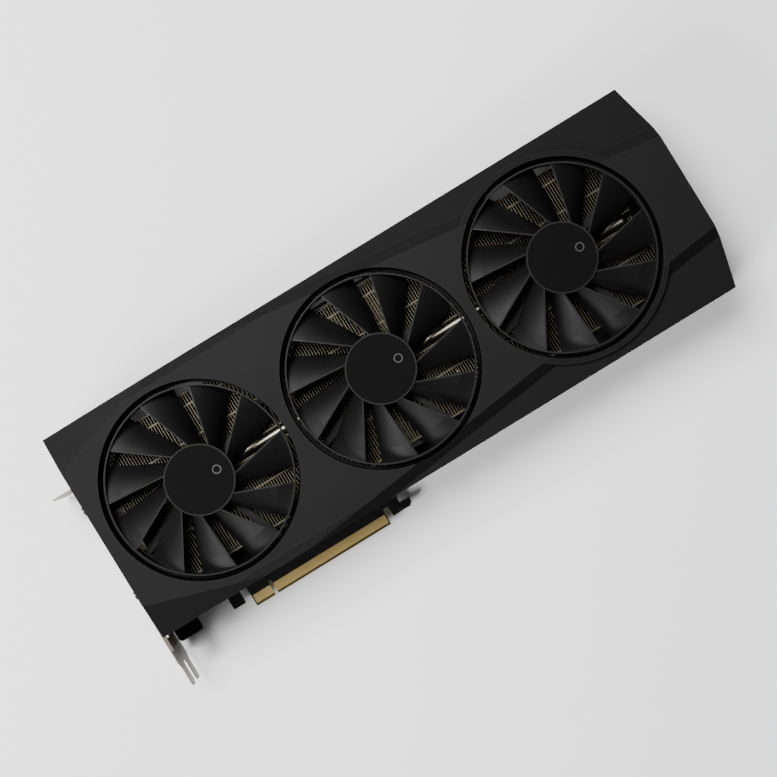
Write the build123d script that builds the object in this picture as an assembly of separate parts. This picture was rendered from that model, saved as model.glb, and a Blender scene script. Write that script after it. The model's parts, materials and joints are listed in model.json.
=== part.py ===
"""Three-fan graphics card, lying on its backplate with the fans up.

Origin: middle of the key notch, on the card-edge connector's seating edge, at half the board's thickness.
+X runs along the card to its far end, +Y away from the slot, +Z out of the component side, towards the fans.
All sizes are in millimetres. Each sub-part is written to parts/NAME.step.
"""
from build123d import *
from math import asin, atan2, cos, degrees, pi, radians, sin, sqrt, tan
import os

# ---------------------------------------------------------------- driving dimensions
# Card edge: contacts, key notch and retention hook, as the slot's standard gives them
BOARD_THICK = 1.57
EDGE_X = (-12.6, 72.6)
EDGE_BEVEL = 1.4
EDGE_BEVEL_DEPTH = 0.45
KEY_WIDTH = 1.9
KEY_DEPTH = 8.5
CONTACT_PITCH = 1.0
CONTACT_WIDTH = 0.72
CONTACT_THICK = 0.05
CONTACT_Y = (0.2, 6.2)
CONTACT_FROM_KEY = 0.55
HOOK_SLOT_TOP_Y = 9.4
HOOK_NECK_X = (76.1, 82.6)
HOOK_TOE_X = 88.5
HOOK_Y = (3.1, 7.6)
HOOK_CHAMFER = 2.0

# Board: the rest of its plan
BOARD_LEFT_X = -58.5
BOARD_LOW_Y = 12.9
BOARD_BELOW_TOP = 23.2
LOBE_WIDTH = 14.7
LOBE_LOW_Y = 4.8
LOBE_ROUND = 2.0
STUB_X = (-24.4, -17.0)
STUB_LOW_Y = 4.7
STUB_ROUND = 0.8

# Casing
SHROUD_LEFT_X = -57.4
SHROUD_LENGTH = 355.0
SHROUD_LOW_Y = 14.25
SHROUD_WIDTH = 120.1
FRONT_Z = 51.0
SHROUD_WALL = 2.0
CEILING_THICK = 3.0
BACKPLATE_THICK = 1.5
BACKPLATE_DROP = 6.0
FLANGE_GAP = 0.3

# Front: corner facets, sloped bands, lower wings, tapered far end and the face plate
CORNER_LINE_IN = 19.8
CORNER_SLOPE = 0.315
CORNER_DROP = 0.24
BAND_LINE_IN = 4.95
BAND_TURN_BEFORE_FAN = 40.0
BAND_WIDTH = 6.0
WING_DROP = 2.5
SHOULDER_BACK = 7.1
SHOULDER_IN = 26.75
NOSE_BACK = 0.4
NOSE_IN = 33.05
FACE_THICK = 1.2
SEAM = 0.15

# Windows in the long walls, and slots in the backplate
VENT_WIDTH = 15.0
VENT_PITCH = 22.0
VENT_LEAN = 6.0
VENT_MARGIN = 2.0
VENT_START = 4.0
AIR_SLOT = (40.0, 5.0)
AIR_SLOT_PITCH = 9.0
AIR_SLOT_OFF_MIDDLE = 24.0
AIR_SLOT_FROM_BOARD = 10.0
AIR_SLOT_FROM_END = 24.0

# Fans
FAN_LEFT_MARGIN = 59.2
FAN_RIGHT_MARGIN = 75.8
FAN_LAND = 5.0
FAN_RIM = 7.55
FAN_GAP = 2.8
DUCT_WALL = 1.8
COLLAR_WALL = 2.9
RING_WALL = 0.8
HUB_RADIUS = 18.7
HUB_WALL = 1.3
HUB_CEILING = 1.4
CAP_RECESS = 0.8
CAP_THICK = 0.65
CAP_GAP = 0.05
BLADES = 11
BLADE_LEAN = 30.5
BLADE_CHORD = 22.7
BLADE_LIP = 0.85
BLADE_BOW = 1.3
BLADE_PHASE = 79.3
LIP_SHORT_OF_RING = 8.7
SHAFT_RADIUS = 1.5
BEARING_RADIUS = 3.0
HOLDER_WALL = 1.2
MAGNET_WALL = 2.2
AIR_GAP = 0.6
STATOR_ARMS = 6
STATOR_CORE = 3.2
STRUTS = 4
STRUT_WIDTH = 3.6
PLATE_THICK = 2.0
RUNNING_GAP = 0.05
FIT_GAP = 0.1

# Cooler
FIN_PITCH = 1.5
FIN_THICK = 0.4
FIN_FLOOR = 0.6
TAB_WIDTH = 0.8
TAB_THICK = 0.4
PIPE_RADIUS = 3.0
PIPE_SPACE = 1.2
PIPE_COUNT = 6
COLD_PLATE_SIZE = 58.0
COLD_PLATE_THICK = 3.4

# Processor, memory and supply parts, as (width, depth, height)
GPU_X = 75.0
GPU_Y = 62.0
PACKAGE_SIZE = (45.0, 45.0, 1.8)
DIE_SIZE = (24.0, 22.0, 0.8)
PASTE_THICK = 0.1
MEMORY_SIZE = (14.0, 12.0, 1.1)
MEMORY_PITCH = 18.0
STAGE_SIZE = (5.0, 6.0, 0.9)
CHOKE_SIZE = (8.0, 8.0, 4.6)
CAN_RADIUS = 3.0
CAN_FOOT = (6.4, 6.4, 0.5)
CAN_HEIGHT = 5.0
COLUMN_PITCH = 10.5
COLUMN_COUNT = 7
COLUMN_BELOW_GPU = 28.0
PAD_THICK = 1.1

# Clamp behind the processor
SPRING_THICK = 1.0
SPRING_OFF_BOARD = 1.6
SPRING_ARM = 8.0

# Supply sockets, fan header and its plug
SOCKET_GAP = 2.6
SOCKET_DEPTH = 13.4
SOCKET_HEIGHT = 11.0
SOCKET_PROUD = 0.4
CAVITY_COLUMNS = 4
CAVITY_PITCH = 4.2
CAVITY_SIZE = 3.6
CAVITY_FLOOR = 3.0
PIN_SIZE = 1.0
PIN_SHORT = 2.0
LATCH_WIDTH = 4.4
LATCH_HEIGHT = 1.6
RECESS_MARGIN = 14.0
RECESS_ABOVE = 4.0
HEADER_SIZE = (10.0, 5.0, 5.0)
HEADER_WALL = 0.8
HEADER_FROM_EDGE = 6.0
PLUG_HEIGHT = 4.2
PLUG_REACH = 4.4

# Bracket
BRACKET_THICK = 0.86
BRACKET_HEIGHT = 38.7
BRACKET_Y = (-5.0, 105.7)
BRACKET_NEAR_Z = 35.6
BRACKET_OFF_BOARD = 0.55
TONGUE_LOW_Y = -16.2
TONGUE_WIDTH = 10.16
TONGUE_SHOULDER = 3.5
TONGUE_CORNER = 2.0
TONGUE_FIRST_Z = 6.15
SLOT_PITCH = 20.32
TAB_REACH = 11.4
NOTCH_WIDTH = 4.4
NOTCH_DEPTH = 4.0
FLANGE_REACH = 2.1
LUG_REACH = 8.0
LUG_WIDTH = 7.0
LUG_SCREW_IN = 5.0
LUG_Y = (22.0, 87.0)
GRILLE_FIRST_Y = 14.0
GRILLE_PITCH = 7.2
GRILLE_SLOT = 4.4
GRILLE_HEIGHT_MARGIN = 5.0

# Display sockets behind the bracket, as (depth, width, height)
DISPLAY_Y = (34.0, 55.0, 76.0)
DISPLAY_SIZE = (18.0, 16.9, 5.4)
WIDE_VIDEO_Y = 97.0
WIDE_VIDEO_SIZE = (12.0, 15.0, 5.6)
SHELL_THICK = 0.4
SHELL_PROUD = 0.6
SHELL_LIFT = 0.05
INSERT_BACK = 2.5
INSERT_THICK = 3.0
INSERT_TONGUE = 1.0
WINDOW_GAP = 0.2

# Screws and the posts that join backplate, board and shroud
POST_RADIUS = 3.2
POST_FROM_EDGE = 9.7
POST_BORE = 8.0
SCREW_RADIUS = 1.25
SCREW_GAP = 0.15
PAN_HEAD = (2.3, 1.2)
SUNK_HEAD = (2.6, 1.4, 1.1)
DRIVE_RADIUS = 0.7
FAN_SCREW_RADIUS = 0.9
FAN_SCREW_HEAD = (1.9, 1.1)
FAN_SCREW_OUT = 4.6
FAN_SCREW_ANGLES = (60, 120, 240, 300)

# Fan leads
LEAD_RADIUS = 0.9
LEAD_PITCH = 2.6
LEAD_EXIT_ANGLE = 50.0
LEAD_EXIT_SIDE = (1, -1, -1)
LEAD_LANE_WAY = (1, 1, -1)
LEAD_LANE_OFF_FINS = (2.25, 5.75, 9.35)
LEAD_LANE_Z = (18.0, 20.5, 23.5)
LEAD_STUB = 6.0
LEAD_SLANT = 5.0

# ---------------------------------------------------------------- derived places
HALF_BOARD = BOARD_THICK / 2
SHROUD_RIGHT_X = SHROUD_LEFT_X + SHROUD_LENGTH
SHROUD_TOP_Y = SHROUD_LOW_Y + SHROUD_WIDTH
MID_Y = SHROUD_LOW_Y + SHROUD_WIDTH / 2
HALF_WIDTH = SHROUD_WIDTH / 2
BOARD_TOP_Y = SHROUD_TOP_Y - BOARD_BELOW_TOP
BACK_Z = -BACKPLATE_DROP
BACK_TOP_Z = BACK_Z + BACKPLATE_THICK
WING_Z = FRONT_Z - WING_DROP
CEILING_Z = WING_Z - CEILING_THICK

FAN_PITCH = (SHROUD_LENGTH - FAN_LEFT_MARGIN - FAN_RIGHT_MARGIN) / 2
FAN_X = [SHROUD_LEFT_X + FAN_LEFT_MARGIN + FAN_PITCH * i for i in range(3)]
OPENING_R = min((FAN_PITCH - FAN_LAND) / 2, HALF_WIDTH - FAN_RIM)
RING_R = OPENING_R - FAN_GAP
DUCT_R = OPENING_R + DUCT_WALL
COLLAR_R = OPENING_R + COLLAR_WALL
LIP_END_R = RING_R - LIP_SHORT_OF_RING

# The centre panel's upper edge, as distances from the card's middle line
CORNER_LINE_Y = HALF_WIDTH - CORNER_LINE_IN
BAND_LINE_Y = HALF_WIDTH - BAND_LINE_IN
BAND_START_X = SHROUD_LEFT_X + (BAND_LINE_Y - CORNER_LINE_Y) / CORNER_SLOPE
BAND_TURN_X = FAN_X[1] - BAND_TURN_BEFORE_FAN
NOSE_Y = HALF_WIDTH - NOSE_IN

# Heights of the fan layer, down from the front
HUB_TOP_Z = FRONT_Z - 1.0
RING_TOP_Z = FRONT_Z - 1.5
BLADE_TOP_Z = FRONT_Z - 1.9
RING_LOW_Z = FRONT_Z - 11.0
BLADE_LOW_Z = FRONT_Z - 11.6
CUP_LOW_Z = FRONT_Z - 13.4
DUCT_LOW_Z = FRONT_Z - 14.4
FRAME_LOW_Z = FRONT_Z - 17.6
FIN_TOP_Z = FRONT_Z - 20.0
CUP_TOP_Z = HUB_TOP_Z - CAP_RECESS
CUP_CEILING_Z = CUP_TOP_Z - HUB_CEILING
CUP_INNER_R = HUB_RADIUS - HUB_WALL
HOLDER_R = BEARING_RADIUS + HOLDER_WALL
HOLDER_TOP_Z = CUP_CEILING_Z - 1.7
MAGNET_OUTER_R = CUP_INNER_R - RUNNING_GAP
STATOR_R = MAGNET_OUTER_R - MAGNET_WALL - AIR_GAP

# Heights of the cooler, up from the board
PACKAGE_TOP_Z = HALF_BOARD + PACKAGE_SIZE[2]
DIE_TOP_Z = PACKAGE_TOP_Z + DIE_SIZE[2]
PASTE_TOP_Z = DIE_TOP_Z + PASTE_THICK
MEMORY_TOP_Z = HALF_BOARD + MEMORY_SIZE[2]
COOLER_FRAME_Z = MEMORY_TOP_Z + PAD_THICK
COLD_TOP_Z = PASTE_TOP_Z + COLD_PLATE_THICK
PIPE_Z = COLD_TOP_Z + PIPE_RADIUS
FIN_LOW_Z = PIPE_Z + PIPE_RADIUS / 3
FIN_FLOOR_Z = PIPE_Z + PIPE_RADIUS + FIT_GAP + FIN_FLOOR

# What stands round the processor, as distances from its middle
PLATE_HALF = COLD_PLATE_SIZE / 2
RETENTION_OFFSET = PLATE_HALF - 2.0
MEMORY_OFFSET = PLATE_HALF + 6.5
MEMORY_ABOVE = PLATE_HALF + 5.0
STAGE_OFFSET = MEMORY_OFFSET + MEMORY_SIZE[0] / 2 + 7.5
CHOKE_OFFSET = STAGE_OFFSET + 9.5
CAN_OFFSET = CHOKE_OFFSET + 10.0
COOLER_FRAME_X = (GPU_X - STAGE_OFFSET - 4.0, GPU_X + STAGE_OFFSET + 4.0)
COOLER_FRAME_Y = (GPU_Y - PLATE_HALF - 4.0, GPU_Y + PLATE_HALF + 13.0)
PLATE_CORNERS = [(-1, -1), (-1, 1), (1, -1), (1, 1)]
RETENTION_HOLES = [(GPU_X + RETENTION_OFFSET * i, GPU_Y + RETENTION_OFFSET * j) for i, j in PLATE_CORNERS]
PIPE_PITCH = 2 * PIPE_RADIUS + PIPE_SPACE

# Supply sockets past the last capacitors, with the board's end past them
SOCKET_WIDTH = CAVITY_COLUMNS * CAVITY_PITCH + 4.6
FIRST_SOCKET_X = GPU_X + CAN_OFFSET + CAN_FOOT[0] / 2 + 1.6 + SOCKET_WIDTH / 2
SOCKET_X = (FIRST_SOCKET_X, FIRST_SOCKET_X + SOCKET_WIDTH + SOCKET_GAP)
SOCKET_FRONT_Y = BOARD_TOP_Y + SOCKET_PROUD
SOCKET_BACK_Y = SOCKET_FRONT_Y - SOCKET_DEPTH
BOARD_RIGHT_X = SOCKET_X[1] + 21.0
RECESS_X = (SOCKET_X[0] - RECESS_MARGIN, SOCKET_X[1] + RECESS_MARGIN)
RECESS_TOP_Z = HALF_BOARD + SOCKET_HEIGHT + RECESS_ABOVE
HEADER_X = SOCKET_X[0] - 21.0
HEADER_Y = BOARD_TOP_Y - HEADER_FROM_EDGE
PLUG_BACK_Y = HEADER_Y + PLUG_REACH

# Fins and pipes
FIN_FIRST_X = SHROUD_LEFT_X + 14.9
FIN_COUNT = int((SHROUD_LENGTH - 45.6) / FIN_PITCH)
FIN_SPAN = (FIN_FIRST_X, FIN_FIRST_X + FIN_COUNT * FIN_PITCH + FIN_THICK)
FIN_Y = (SHROUD_LOW_Y + 18.45, SHROUD_TOP_Y - 16.1)
PIPE_X = (FIN_SPAN[0] + 3.0, FIN_SPAN[1] - 3.0)

# Bracket
BRACKET_IN_X = BOARD_LEFT_X - BRACKET_OFF_BOARD
BRACKET_OUT_X = BRACKET_IN_X - BRACKET_THICK
BRACKET_FAR_Z = BRACKET_NEAR_Z - BRACKET_HEIGHT
BRACKET_PAD_Z = BRACKET_NEAR_Z - 4.0
BRACKET_PAD_Y = (40.0, 92.0)
TONGUE_Z = (TONGUE_FIRST_Z, TONGUE_FIRST_Z + SLOT_PITCH)
LUG_SCREW_X = BOARD_LEFT_X + LUG_SCREW_IN
SHELL_LOW_Z = HALF_BOARD + SHELL_LIFT
SHELL_FRONT_X = BRACKET_OUT_X - SHELL_PROUD

# Posts, as (x, y)
BETWEEN_FANS_X = [(FAN_X[i] + FAN_X[i + 1]) / 2 for i in range(2)]
BOARD_POSTS = [(x, SHROUD_LOW_Y + POST_FROM_EDGE) for x in [BOARD_LEFT_X + 22.4] + BETWEEN_FANS_X]
FREE_POSTS = [
    (SHROUD_LEFT_X + 7.4, SHROUD_TOP_Y - POST_FROM_EDGE - 0.6),
    (BETWEEN_FANS_X[0], SHROUD_TOP_Y - POST_FROM_EDGE + 1.4),
    (SHROUD_RIGHT_X - 13.0, SHROUD_LOW_Y + POST_FROM_EDGE),
    (SHROUD_RIGHT_X - 13.0, SHROUD_TOP_Y - POST_FROM_EDGE),
]


# ---------------------------------------------------------------- helpers
def box(x, y, z):
    """A box between two values on each axis."""
    centre = ((x[0] + x[1]) / 2, (y[0] + y[1]) / 2, (z[0] + z[1]) / 2)
    return Pos(*centre) * Box(x[1] - x[0], y[1] - y[0], z[1] - z[0])


def block(place, size, low):
    """A box of a given width, depth and height, standing on a height about a place."""
    x, y = place
    return box((x - size[0] / 2, x + size[0] / 2), (y - size[1] / 2, y + size[1] / 2), (low, low + size[2]))


def rod(x, y, z, radius):
    """An upright cylinder between two heights."""
    return Pos(x, y, (z[0] + z[1]) / 2) * Cylinder(radius, z[1] - z[0])


def tube(x, y, z, outer, inner):
    """An upright tube between two heights."""
    return rod(x, y, z, outer) - rod(x, y, z, inner)


def rod_x(x, y, z, radius):
    """A cylinder along X."""
    return Pos((x[0] + x[1]) / 2, y, z) * Rot(0, 90, 0) * Cylinder(radius, x[1] - x[0])


def prism(points, z):
    """An upright prism over a closed outline, between two heights."""
    face = make_face(Polyline(*points, close=True))
    return extrude(Pos(0, 0, z[0]) * face, amount=z[1] - z[0])


def patch(x, y, corner=0.0):
    """A flat rectangle between two values on each axis, with round corners if asked."""
    size = (x[1] - x[0], y[1] - y[0])
    shape = RectangleRounded(*size, corner) if corner else Rectangle(*size)
    return Pos((x[0] + x[1]) / 2, (y[0] + y[1]) / 2) * shape


def ridge(start, heading, section, length):
    """Extrudes a section along a level line: its first axis points left of the heading, its second up."""
    ahead = Vector(cos(radians(heading)), sin(radians(heading)), 0)
    left = Vector(-ahead.Y, ahead.X, 0)
    plane = Plane(origin=(start[0], start[1], 0), x_dir=left, z_dir=ahead)
    return extrude(plane * make_face(Polyline(*section, close=True)), amount=length)


def around(x, radius, angle):
    """A place at a radius and an angle about a fan's axis."""
    return (x + radius * cos(radians(angle)), MID_Y + radius * sin(radians(angle)))


def both_sides(solid):
    """The solid, and its mirror image across the card's long middle plane."""
    return [solid, mirror(solid, about=Plane.XZ.offset(-MID_Y))]


def group(solids):
    """Separate solids kept together as one node."""
    return Compound(children=[piece for item in solids for piece in item.solids()])


def save(name, shape):
    """Writes one node."""
    export_step(shape, f"parts/{name}.step")
    print(name, len(shape.solids()), round(shape.volume, 1))


# ---------------------------------------------------------------- casing outlines
def shroud_outline(inset=0.0):
    """Plan of the casing: straight at the bracket, tapered to the middle at the far end."""
    left = SHROUD_LEFT_X + inset
    right = SHROUD_RIGHT_X - inset
    half = HALF_WIDTH - inset
    shoulder = (right - NOSE_BACK, HALF_WIDTH - SHOULDER_IN)
    upper = [(right - SHOULDER_BACK, half), shoulder, (right, NOSE_Y)]
    lower = [(x, -y) for x, y in reversed(upper)]
    return [(x, MID_Y + y) for x, y in [(left, half)] + upper + lower + [(left, -half)]]


def panel_outline(margin=0.0):
    """Plan of the centre panel, grown by a margin along its long edges and past both ends."""
    edge = [
        (SHROUD_LEFT_X - 2 * margin, CORNER_LINE_Y + margin),
        (BAND_START_X, BAND_LINE_Y + margin),
        (BAND_TURN_X, BAND_LINE_Y + margin),
        (SHROUD_RIGHT_X + 2 * margin, NOSE_Y + margin),
    ]
    upper = [(x, MID_Y + y) for x, y in edge]
    lower = [(x, MID_Y - y) for x, y in reversed(edge)]
    return upper + lower


def corner_cut():
    """Everything above the sloped facet at the bracket end's upper corner."""
    reach = SHROUD_WIDTH / 3
    above = FRONT_Z + 5
    section = [(0, FRONT_Z), (reach, FRONT_Z - reach * CORNER_DROP), (reach, above), (0, above)]
    run = BAND_START_X - SHROUD_LEFT_X
    rise = BAND_LINE_Y - CORNER_LINE_Y
    start = (SHROUD_LEFT_X - run / 2, MID_Y + CORNER_LINE_Y - rise / 2)
    return ridge(start, degrees(atan2(rise, run)), section, 2.5 * run)


def wing_cut():
    """Everything above the band and the wing panel beside the fans."""
    reach = SHROUD_WIDTH
    above = FRONT_Z + 5
    section = [(0, FRONT_Z), (BAND_WIDTH, WING_Z), (reach, WING_Z), (reach, above), (0, above)]
    run = SHROUD_RIGHT_X - BAND_TURN_X
    rise = NOSE_Y - BAND_LINE_Y
    start = (BAND_TURN_X - run / 4, MID_Y + BAND_LINE_Y - rise / 4)
    collar = rod(FAN_X[2], MID_Y, (WING_Z - 1, above + 1), COLLAR_R)
    return ridge(start, degrees(atan2(rise, run)), section, 1.5 * run) - collar


def fan_screw_places(fan_x):
    """The screws that hold one fan's frame."""
    return [around(fan_x, DUCT_R + FAN_SCREW_OUT, angle) for angle in FAN_SCREW_ANGLES]


# ---------------------------------------------------------------- casing
def side_vents():
    """Slanted windows through both long walls, level with the fins, except beside the supply recess."""
    low = FIN_LOW_Z + VENT_MARGIN
    high = FIN_TOP_Z - VENT_MARGIN
    past = VENT_WIDTH + VENT_LEAN
    count = int((FIN_SPAN[1] - FIN_SPAN[0]) / VENT_PITCH)
    starts = [FIN_SPAN[0] + VENT_START + i * VENT_PITCH for i in range(count)]
    clear = [x for x in starts if x + past < RECESS_X[0] + 1 or x > RECESS_X[1] + 1]
    vents = []
    for wall_y, places in ((SHROUD_LOW_Y, starts), (SHROUD_TOP_Y - SHROUD_WALL, clear)):
        for x in places:
            corners = [(x, low), (x + VENT_WIDTH, low), (x + past, high), (x + VENT_LEAN, high)]
            face = make_face(Polyline(*[(cx, wall_y - 1, cz) for cx, cz in corners], close=True))
            vents.append(extrude(face, amount=SHROUD_WALL + 2, dir=(0, 1, 0)))
    return vents


def shroud():
    """Moulded shell: front with three ducts, long walls with vents, far wall, screw posts inside."""
    body = prism(shroud_outline(), (BACK_TOP_Z + FIT_GAP, FRONT_Z))
    for cut in both_sides(corner_cut()) + both_sides(wing_cut()):
        body -= cut
    body -= prism(panel_outline(SEAM), (FRONT_Z - FACE_THICK, FRONT_Z + 1))
    body -= prism(shroud_outline(SHROUD_WALL), (BACK_Z - 1, CEILING_Z))
    for x in FAN_X:
        body += rod(x, MID_Y, (DUCT_LOW_Z, CEILING_Z + 1), DUCT_R)
    for x in FAN_X:
        body -= rod(x, MID_Y, (BACK_Z, FRONT_Z + 1), OPENING_R)
    # Bosses for the fan frames, and posts down to the board and the backplate
    for x in FAN_X:
        for px, py in fan_screw_places(x):
            body += rod(px, py, (DUCT_LOW_Z, CEILING_Z + 1), POST_RADIUS)
            body -= rod(px, py, (DUCT_LOW_Z - 1, CEILING_Z - 1), FAN_SCREW_RADIUS + RUNNING_GAP)
    for places, foot in ((BOARD_POSTS, HALF_BOARD), (FREE_POSTS, BACK_TOP_Z)):
        for px, py in places:
            body += rod(px, py, (foot, CEILING_Z + 1), POST_RADIUS)
            body -= rod(px, py, (BACK_Z, HALF_BOARD + POST_BORE), SCREW_RADIUS + RUNNING_GAP)
    # The slot-side wall stops above the board, and the bracket end is open for the sockets
    low_wall_y = (SHROUD_LOW_Y - 1, SHROUD_LOW_Y + SHROUD_WALL + 1)
    body -= box((SHROUD_LEFT_X - 1, BOARD_RIGHT_X + 1), low_wall_y, (BACK_Z - 1, HALF_BOARD + WINDOW_GAP))
    end_wall_x = (SHROUD_LEFT_X - 1, SHROUD_LEFT_X + SHROUD_WALL + 1)
    body -= box(end_wall_x, (SHROUD_LOW_Y - 1, BOARD_TOP_Y + 1), (BACK_Z - 1, BRACKET_PAD_Z - POST_RADIUS))
    # Recess in the top wall for the supply plugs
    body -= box(RECESS_X, (SHROUD_TOP_Y - SHROUD_WALL - 1, SHROUD_TOP_Y + 1), (BACK_Z - 1, RECESS_TOP_Z))
    for vent in side_vents():
        body -= vent
    # Pads that meet the bracket
    for y in BRACKET_PAD_Y:
        body += rod_x((BRACKET_IN_X, SHROUD_LEFT_X + 6), y, BRACKET_PAD_Z, POST_RADIUS - 0.6)
        body -= rod_x((BRACKET_IN_X - 1, SHROUD_LEFT_X + 7), y, BRACKET_PAD_Z, SCREW_RADIUS + RUNNING_GAP)
    return body


def face_plate():
    """Flat centre panel let into the shroud's front."""
    plate = prism(panel_outline(), (FRONT_Z - FACE_THICK, FRONT_Z))
    plate &= prism(shroud_outline(), (FRONT_Z - FACE_THICK - 1, FRONT_Z + 1))
    for x in FAN_X:
        plate -= rod(x, MID_Y, (FRONT_Z - FACE_THICK - 1, FRONT_Z + 1), OPENING_R)
    return plate


def backplate():
    """Flat plate with a flange along the slot side, standoffs, and an air window behind the last fan."""
    plate = prism(shroud_outline(), (BACK_Z, BACK_TOP_Z))
    flange_x = (BOARD_LEFT_X + LOBE_WIDTH, BOARD_RIGHT_X)
    flange_y = (SHROUD_LOW_Y, SHROUD_LOW_Y + BACKPLATE_THICK)
    plate += box(flange_x, flange_y, (BACK_TOP_Z, -HALF_BOARD - FLANGE_GAP))
    for px, py in BOARD_POSTS:
        plate += rod(px, py, (BACK_TOP_Z, -HALF_BOARD), POST_RADIUS)
    wide, narrow, deep = SUNK_HEAD
    for px, py in BOARD_POSTS + FREE_POSTS:
        plate -= rod(px, py, (BACK_Z - 1, 0), SCREW_RADIUS + RUNNING_GAP)
        sink = Cone(wide + 2 * FIT_GAP, narrow + 2 * FIT_GAP, deep + 2 * FIT_GAP)
        plate -= Pos(px, py, BACK_Z + deep / 2 + FIT_GAP) * sink
    # Slots that let the last fan's air through, past the end of the board
    first = BOARD_RIGHT_X + AIR_SLOT_FROM_BOARD
    rows = max(0, int((SHROUD_RIGHT_X - AIR_SLOT_FROM_END - first) / AIR_SLOT_PITCH))
    slot = Rot(0, 0, 90) * extrude(SlotOverall(*AIR_SLOT), amount=BACKPLATE_THICK * 2, both=True)
    for i in range(rows):
        for side in (-1, 1):
            plate -= Pos(first + i * AIR_SLOT_PITCH, MID_Y + side * AIR_SLOT_OFF_MIDDLE, BACK_Z) * slot
    return plate


def post_screws():
    """Countersunk screws from the backplate up into the posts."""
    wide, narrow, deep = SUNK_HEAD
    screws = []
    for px, py in BOARD_POSTS + FREE_POSTS:
        head = Pos(px, py, BACK_Z + FIT_GAP + deep / 2) * Cone(wide, narrow, deep)
        shank = rod(px, py, (BACK_Z + deep / 2, HALF_BOARD + POST_BORE - 1), SCREW_RADIUS)
        drive = rod(px, py, (BACK_Z - 1, BACK_Z + deep - 0.4), DRIVE_RADIUS)
        screws.append(head + shank - drive)
    return group(screws)


# ---------------------------------------------------------------- board
def slot_up(x, top, width):
    """A round-ended slot cut up into the board's plan from below."""
    length = top + 10
    return Pos(x, top - length / 2) * Rot(0, 0, 90) * SlotOverall(length, width)


def board_outline():
    """Plan of the board: straight top, and on the slot side a lobe, a stub, the connector and the hook."""
    over = BOARD_LOW_Y + 2
    plan = patch((BOARD_LEFT_X, BOARD_RIGHT_X), (BOARD_LOW_Y, BOARD_TOP_Y))
    plan += patch((BOARD_LEFT_X, BOARD_LEFT_X + LOBE_WIDTH), (LOBE_LOW_Y, over + 4), LOBE_ROUND)
    plan += patch(STUB_X, (STUB_LOW_Y, over), STUB_ROUND)
    plan += patch((EDGE_X[0], HOOK_NECK_X[1]), (0, over))
    plan -= patch((HOOK_NECK_X[0], HOOK_NECK_X[1] + 1), (-1, HOOK_Y[0]))
    plan += patch((HOOK_NECK_X[0], HOOK_TOE_X), HOOK_Y)
    plan -= slot_up((EDGE_X[1] + HOOK_NECK_X[0]) / 2, HOOK_SLOT_TOP_Y, HOOK_NECK_X[0] - EDGE_X[1])
    plan -= slot_up(0, KEY_DEPTH, KEY_WIDTH)
    toe_x = HOOK_TOE_X + 0.1
    toe_y = HOOK_Y[0] - 0.1
    toe = [(toe_x - HOOK_CHAMFER, toe_y), (toe_x, toe_y), (toe_x, toe_y + HOOK_CHAMFER)]
    return plan - make_face(Polyline(*toe, close=True))


def circuit_board():
    """The board, bevelled on both sides along its contacts, with its screw holes."""
    board = extrude(Pos(0, 0, -HALF_BOARD) * board_outline(), amount=BOARD_THICK)
    slope = EDGE_BEVEL_DEPTH / EDGE_BEVEL
    above = HALF_BOARD + 1
    low = HALF_BOARD - EDGE_BEVEL_DEPTH - slope
    section = [(-1, above), (-1, low), (EDGE_BEVEL, HALF_BOARD), (EDGE_BEVEL, above)]
    bevel = ridge((EDGE_X[0] - 1, 0), 0, section, EDGE_X[1] - EDGE_X[0] + 2)
    board -= bevel
    board -= mirror(bevel, about=Plane.XY)
    for x, y in BOARD_POSTS + RETENTION_HOLES + [(LUG_SCREW_X, y) for y in LUG_Y]:
        board -= rod(x, y, (-BOARD_THICK, BOARD_THICK), SCREW_RADIUS + SCREW_GAP)
    return board


def edge_contacts():
    """Two rows of gilded contacts on each side, lying on the board and down its bevel."""
    low_y, top_y = CONTACT_Y
    low_z = HALF_BOARD - EDGE_BEVEL_DEPTH * (1 - low_y / EDGE_BEVEL)
    lower = [(low_y, low_z), (EDGE_BEVEL, HALF_BOARD), (top_y, HALF_BOARD)]
    upper = [(y, z + CONTACT_THICK) for y, z in reversed(lower)]
    one = ridge((-CONTACT_WIDTH / 2, 0), 0, lower + upper, CONTACT_WIDTH)
    back = mirror(one, about=Plane.XY)
    first = KEY_WIDTH / 2 + CONTACT_FROM_KEY
    right = [first + i * CONTACT_PITCH for i in range(int(EDGE_X[1] - KEY_WIDTH / 2))]
    left = [-first - i * CONTACT_PITCH for i in range(int(-EDGE_X[0] - KEY_WIDTH / 2))]
    return group([Pos(x, 0, 0) * side for x in right + left for side in (one, back)])


# ---------------------------------------------------------------- bracket
def tongue_outline(low_y, shoulder_y, full_z):
    """The plate's lower end as (y, z): slanted shoulders and two tongues with cut corners."""
    half = TONGUE_WIDTH / 2
    cut = TONGUE_CORNER
    between = (shoulder_y, sum(TONGUE_Z) / 2)
    outline = [(shoulder_y + BRACKET_THICK, full_z[0]), (shoulder_y, full_z[0])]
    for z, after in zip(TONGUE_Z, (between, (shoulder_y, full_z[1]))):
        outline += [(low_y, z - half), (TONGUE_LOW_Y + cut, z - half), (TONGUE_LOW_Y, z - half + cut)]
        outline += [(TONGUE_LOW_Y, z + half - cut), (TONGUE_LOW_Y + cut, z + half), (low_y, z + half), after]
    return outline + [(shoulder_y + BRACKET_THICK, full_z[1])]


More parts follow.
